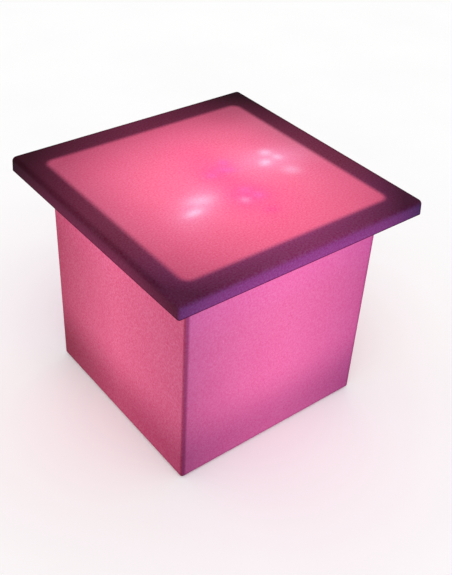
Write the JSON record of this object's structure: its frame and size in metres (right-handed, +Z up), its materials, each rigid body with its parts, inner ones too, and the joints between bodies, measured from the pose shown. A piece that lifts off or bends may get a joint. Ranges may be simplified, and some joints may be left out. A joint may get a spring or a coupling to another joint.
{
  "type": "illuminated lounge table",
  "caption": "Square side table lit from inside: a glowing box body, a lift-off square top with an overhanging rim, and a battery lamp unit in its base.",
  "frame": {"origin": "on the floor, under the middle of the table", "axes": "+Z up; the sides of the body and the top face -X, +X, -Y and +Y; the corner between -X and -Y is the front one in the picture"},
  "size_m": [0.5, 0.5, 0.44],
  "materials": {
    "body_polyethylene": "satin, fine moulded grain, lit from inside",
    "top_polyethylene": "satin, fine moulded grain, lit from inside",
    "vent_plug_plastic": "matte",
    "foot_rubber": "matte",
    "gasket_silicone": "matte",
    "insert_brass": "turned",
    "screw_steel": "satin",
    "housing_plastic": "fine moulded grain",
    "cover_polycarbonate": "frosted",
    "power_button_plastic": "satin",
    "colour_button_plastic": "satin",
    "switch_plastic": "matte",
    "socket_steel": "drawn",
    "flap_plastic": "fine moulded grain",
    "light_guide_plastic": "clear",
    "control_board_laminate": "lacquered",
    "board_parts_plastic": "matte",
    "terminal_plastic": "matte",
    "tray_plastic": "fine moulded grain",
    "cell_sleeve": "gloss",
    "link_nickel": "satin",
    "strap_steel": "satin",
    "battery_lead_sleeve": "satin",
    "led_lead_sleeve": "satin",
    "spreader_aluminium": "milled",
    "light_board_lacquer": "white lacquer",
    "led_white": "lit",
    "led_pink": "lit",
    "lens_acrylic": "clear"
  },
  "bodies": {
    "base": {"body_shell": "body_polyethylene", "threaded_inserts": "insert_brass", "rubber_feet": "foot_rubber", "foot_screws": "screw_steel", "lamp_housing": "housing_plastic", "hatch_gasket": "gasket_silicone", "hatch_screws": "screw_steel", "cover_seal": "gasket_silicone", "lamp_cover": "cover_polycarbonate", "cover_screws": "screw_steel", "button_switches": "switch_plastic", "charge_socket": "socket_steel", "cover_pin": "screw_steel", "charge_light": "light_guide_plastic", "control_board": "control_board_laminate", "board_screws": "screw_steel", "board_parts": "board_parts_plastic", "lead_terminals": "terminal_plastic", "battery_tray": "tray_plastic", "tray_screws": "screw_steel", "battery_cells": "cell_sleeve", "cell_links": "link_nickel", "battery_strap": "strap_steel", "strap_screws": "screw_steel", "battery_leads": "battery_lead_sleeve", "led_leads": "led_lead_sleeve", "heat_spreader": "spreader_aluminium", "led_board": "light_board_lacquer", "led_board_screws": "screw_steel", "white_leds": "led_white", "pink_leds": "led_pink", "led_lenses": "lens_acrylic"},
    "tabletop": {"tabletop": "top_polyethylene", "vent_plug": "vent_plug_plastic"},
    "power_button": {"power_button": "power_button_plastic"},
    "colour_button": {"colour_button": "colour_button_plastic"},
    "charge_cover": {"charge_cover": "flap_plastic"}
  },
  "joints": [
    {"name": "tabletop_lift", "type": "slide", "parent": "base", "child": "tabletop", "axis": [0, 0, 1], "range_m": [0, 0.15]},
    {"name": "power_button_press", "type": "slide", "parent": "base", "child": "power_button", "axis": [0, 0, 1], "range_m": [0, 0.0012], "stiffness_N_per_m": 600},
    {"name": "colour_button_press", "type": "slide", "parent": "base", "child": "colour_button", "axis": [0, 0, 1], "range_m": [0, 0.0012], "stiffness_N_per_m": 600},
    {"name": "charge_cover_hinge", "type": "hinge", "parent": "base", "child": "charge_cover", "pos_m": [0, -0.023, 0.02], "axis": [-1, 0, 0], "range_deg": [0, 110]}
  ]
}
